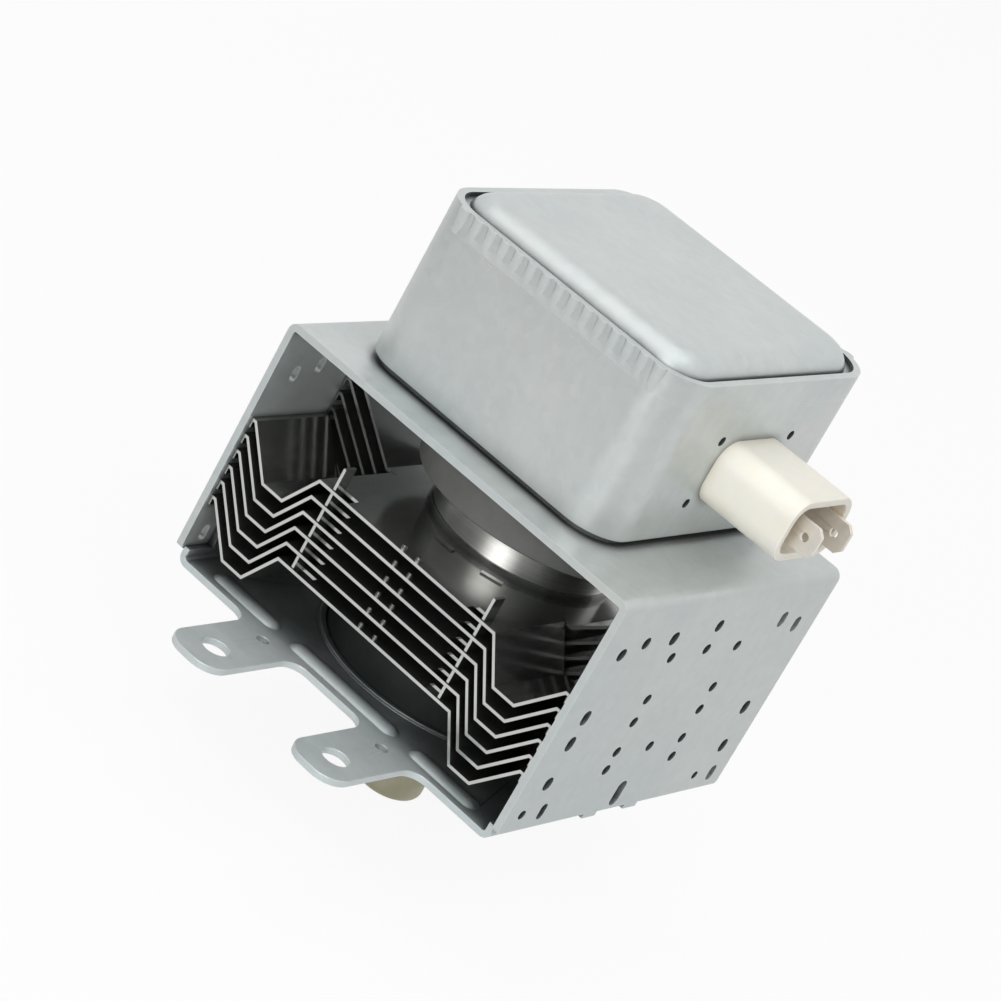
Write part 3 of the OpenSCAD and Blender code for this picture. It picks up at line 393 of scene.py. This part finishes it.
def smoothing_group():
    """Joins the split points and shades smooth except over sharp edges."""
    tree = bpy.data.node_groups.new("clean_shading", "GeometryNodeTree")
    tree.interface.new_socket("Geometry", in_out="INPUT", socket_type="NodeSocketGeometry")
    tree.interface.new_socket("Geometry", in_out="OUTPUT", socket_type="NodeSocketGeometry")
    add = tree.nodes.new
    start = add("NodeGroupInput")
    end = add("NodeGroupOutput")
    merge = add("GeometryNodeMergeByDistance")
    merge.inputs["Distance"].default_value = MERGE_DISTANCE
    drop = add("GeometryNodeRemoveAttribute")
    drop.inputs["Name"].default_value = "custom_normal"
    faces = add("GeometryNodeSetShadeSmooth")
    faces.domain = "FACE"
    angle = add("GeometryNodeInputMeshEdgeAngle")
    over = add("FunctionNodeCompare")
    over.data_type = "FLOAT"
    over.operation = "GREATER_THAN"
    over.inputs[1].default_value = SHARP
    edges = add("GeometryNodeSetShadeSmooth")
    edges.domain = "EDGE"
    edges.inputs["Shade Smooth"].default_value = False
    link = tree.links.new
    link(start.outputs[0], merge.inputs["Geometry"])
    link(merge.outputs["Geometry"], drop.inputs["Geometry"])
    link(drop.outputs["Geometry"], faces.inputs["Geometry"])
    link(faces.outputs["Geometry"], edges.inputs["Geometry"])
    link(angle.outputs["Unsigned Angle"], over.inputs[0])
    link(over.outputs["Result"], edges.inputs["Selection"])
    link(edges.outputs["Geometry"], end.inputs[0])
    return tree


shading = smoothing_group()
for name, obj in nodes.items():
    look = LOOKS.get(name, mat_steel)
    for place in obj.material_slots:
        place.material = look
    clean = obj.modifiers.new("clean_shading", "NODES")
    clean.node_group = shading
    if name in BEVELS:
        soft = obj.modifiers.new("soft_edges", "BEVEL")
        soft.width = BEVELS[name] * MM
        soft.segments = BEVEL_SEGMENTS
        soft.limit_method = "ANGLE"
        soft.angle_limit = SHARP
        soft.harden_normals = True


# Knitted wire over the contact gasket, which sits round the antenna

WIRE_R = 0.13 * MM
COURSES = 15
STITCHES = 92
STEPS = 8
GASKET_ROUND = 1.2 * MM
ROUND_STEPS = 6
# Loop of a stitch: its sideways lean in stitches, and its half height in courses
STITCH_LEAN = 0.2
STITCH_REACH = 0.85
# Depth of the wire's middle under the outline, in wire radii: mean and swing
SINK_MEAN = 1.3
SINK_SWING = 0.7


def gasket_profile(node):
    """Radius and height along the gasket's outline: its underside, then its outer side."""
    points = [v.co for v in node.data.vertices]
    radii = [math.hypot(p.x, p.y) for p in points]
    heights = [p.z for p in points]
    mid = max(radii) - GASKET_ROUND
    low = min(heights) + GASKET_ROUND
    high = max(heights) - GASKET_ROUND
    turns = [math.pi / 2 * k / ROUND_STEPS for k in range(ROUND_STEPS + 1)]
    lines = [(min(radii) + WIRE_R, min(heights))]
    for turn in turns:
        lines.append((mid + GASKET_ROUND * math.sin(turn), low - GASKET_ROUND * math.cos(turn)))
    for turn in turns:
        lines.append((mid + GASKET_ROUND * math.cos(turn), high + GASKET_ROUND * math.sin(turn)))
    return lines


def along(lines, share):
    """Point and outward direction at a share of the outline's length."""
    lengths = [math.dist(p, q) for p, q in zip(lines, lines[1:])]
    left = min(max(share, 0), 1) * sum(lengths)
    for p, q, length in zip(lines, lines[1:], lengths):
        if left <= length and length > 0:
            break
        left -= length
    part = min(left / length, 1)
    out = ((q[1] - p[1]) / length, -(q[0] - p[0]) / length)
    return (p[0] + (q[0] - p[0]) * part, p[1] + (q[1] - p[1]) * part), out


def knit_gasket(node):
    lines = gasket_profile(node)
    data = bpy.data.curves.new("gasket_knit", "CURVE")
    data.dimensions = "3D"
    data.bevel_depth = WIRE_R
    data.bevel_resolution = 1
    for course in range(COURSES):
        spline = data.splines.new("POLY")
        spline.points.add(STITCHES * STEPS - 1)
        spline.use_cyclic_u = True
        for k, point in enumerate(spline.points):
            t = 2 * math.pi * k / STEPS
            turn = 2 * math.pi / STITCHES * (k / STEPS + STITCH_LEAN * math.sin(2 * t))
            (r, z), out = along(lines, (course + 0.5 + STITCH_REACH * math.cos(t)) / COURSES)
            sink = WIRE_R * (SINK_MEAN - SINK_SWING * math.cos(2 * t))
            r -= out[0] * sink
            z -= out[1] * sink
            point.co = (r * math.cos(turn), r * math.sin(turn), z, 1)
    data.materials.append(mat_mesh)
    knit = bpy.data.objects.new("gasket_knit", data)
    scene.collection.objects.link(knit)
    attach(knit, "root")


knit_gasket(nodes["rf_gasket"])


# Studio: white floor and surround, a dark screen for the metal to mirror, and lamps

FLOOR_Z = cad_box[0].z - 0.2 * MM
FLOOR_HALF = 3.0
FLOOR_PAPER = (0.6, 0.6, 0.6, 1)
FLOOR_GLOW = 1.06
FLOOR_GLOW_SHARE = 0.86
AMBIENT = 0.25
SCREEN_RADIUS = 0.45
SCREEN_LOW = 0.12
SCREEN_HIGH = 0.36
SCREEN_LIFT = 1 * MM
SCREEN_LEVEL = 0.16
SCREEN_SIDES = 32
LAMPS_AIM = Vector((0, 0, 0.04))


def seen_directly(tree):
    """1 for rays from the camera, mirror reflections and glass, else 0."""
    path = tree.nodes.new("ShaderNodeLightPath")
    seen = path.outputs["Is Camera Ray"]
    for kind in ("Is Glossy Ray", "Is Transmission Ray"):
        either = tree.nodes.new("ShaderNodeMath")
        either.operation = "MAXIMUM"
        connect(tree, either.inputs[0], seen)
        connect(tree, either.inputs[1], path.outputs[kind])
        seen = either.outputs[0]
    return seen


def make_floor():
    """Grey paper with a white glow where it is seen, so that the object's shadow still shows."""
    mesh = bpy.data.meshes.new("floor")
    corners = ((-1, -1), (1, -1), (1, 1), (-1, 1))
    mesh.from_pydata([(x * FLOOR_HALF, y * FLOOR_HALF, FLOOR_Z) for x, y in corners], [], [(0, 1, 2, 3)])
    floor = bpy.data.objects.new("floor", mesh)
    scene.collection.objects.link(floor)
    mat = bpy.data.materials.new("floor_white")
    mat.use_nodes = True
    tree = mat.node_tree
    tree.nodes.clear()
    paper = tree.nodes.new("ShaderNodeBsdfDiffuse")
    connect(tree, paper.inputs["Color"], FLOOR_PAPER)
    glow = tree.nodes.new("ShaderNodeEmission")
    connect(tree, glow.inputs["Color"], WHITE)
    connect(tree, glow.inputs["Strength"], FLOOR_GLOW)
    share = tree.nodes.new("ShaderNodeMath")
    share.operation = "MULTIPLY"
    connect(tree, share.inputs[0], seen_directly(tree))
    connect(tree, share.inputs[1], FLOOR_GLOW_SHARE)
    blend = tree.nodes.new("ShaderNodeMixShader")
    connect(tree, blend.inputs["Fac"], share.outputs[0])
    connect(tree, blend.inputs[1], paper.outputs[0])
    connect(tree, blend.inputs[2], glow.outputs[0])
    out = tree.nodes.new("ShaderNodeOutputMaterial")
    connect(tree, out.inputs["Surface"], blend.outputs[0])
    mesh.materials.append(mat)


def make_world():
    """White where it is seen, and a weak light from all round."""
    world = bpy.data.worlds.new("studio")
    scene.world = world
    world.use_nodes = True
    tree = world.node_tree
    level = tree.nodes.new("ShaderNodeMapRange")
    connect(tree, level.inputs["Value"], seen_directly(tree))
    connect(tree, level.inputs["To Min"], AMBIENT)
    connect(tree, level.inputs["To Max"], 1.0)
    back = tree.nodes["Background"]
    connect(tree, back.inputs["Color"], WHITE)
    connect(tree, back.inputs["Strength"], level.outputs["Result"])


def make_screen():
    """A dark half ring in front of the object, highest in the middle, that only reflections see."""
    verts = []
    for k in range(SCREEN_SIDES + 1):
        turn = math.pi * (1 + k / SCREEN_SIDES)
        x = SCREEN_RADIUS * math.cos(turn)
        y = SCREEN_RADIUS * math.sin(turn)
        top = SCREEN_LOW - (SCREEN_HIGH - SCREEN_LOW) * math.sin(turn)
        verts += [(x, y, FLOOR_Z + SCREEN_LIFT), (x, y, top)]
    faces = [(2 * k, 2 * k + 2, 2 * k + 3, 2 * k + 1) for k in range(SCREEN_SIDES)]
    mesh = bpy.data.meshes.new("screen")
    mesh.from_pydata(verts, [], faces)
    paint = Tree("screen_dark")
    mesh.materials.append(paint.surface(Base_Color=BLACK, Specular_IOR_Level=0, Emission_Color=WHITE,
                                        Emission_Strength=SCREEN_LEVEL))
    screen = bpy.data.objects.new("screen", mesh)
    scene.collection.objects.link(screen)
    screen.visible_camera = False
    screen.visible_diffuse = False
    screen.visible_transmission = False
    screen.visible_shadow = False


def area_lamp(name, place, size, power, mirrored=False, lights=True):
    """A square lamp aimed at the object; metal mirrors it or not, and it lights dull faces or not."""
    data = bpy.data.lights.new(name, "AREA")
    data.shape = "SQUARE"
    data.size = size
    data.energy = power
    lamp = bpy.data.objects.new(name, data)
    lamp.location = place
    lamp.rotation_mode = "QUATERNION"
    lamp.rotation_quaternion = (LAMPS_AIM - Vector(place)).to_track_quat("-Z", "Y")
    lamp.visible_camera = False
    lamp.visible_glossy = mirrored
    lamp.visible_diffuse = lights
    scene.collection.objects.link(lamp)


make_floor()
make_world()
make_screen()
area_lamp("key", (-0.4, -0.05, 1.4), size=0.8, power=3)
area_lamp("front", (0.12, -1.4, 0.5), size=0.5, power=5.5)
area_lamp("glint", (0.34, -1.35, 0.5), size=0.7, power=17, mirrored=True, lights=False)
area_lamp("fill", (0.9, -1.1, 0.45), size=0.8, power=4)
area_lamp("side", (1.0, -0.3, 1.2), size=1.0, power=5.5)
area_lamp("top", (-0.1, -0.3, 1.5), size=1.6, power=5.4, mirrored=True)

scene.view_settings.view_transform = "Standard"

bpy.context.view_layer.update()
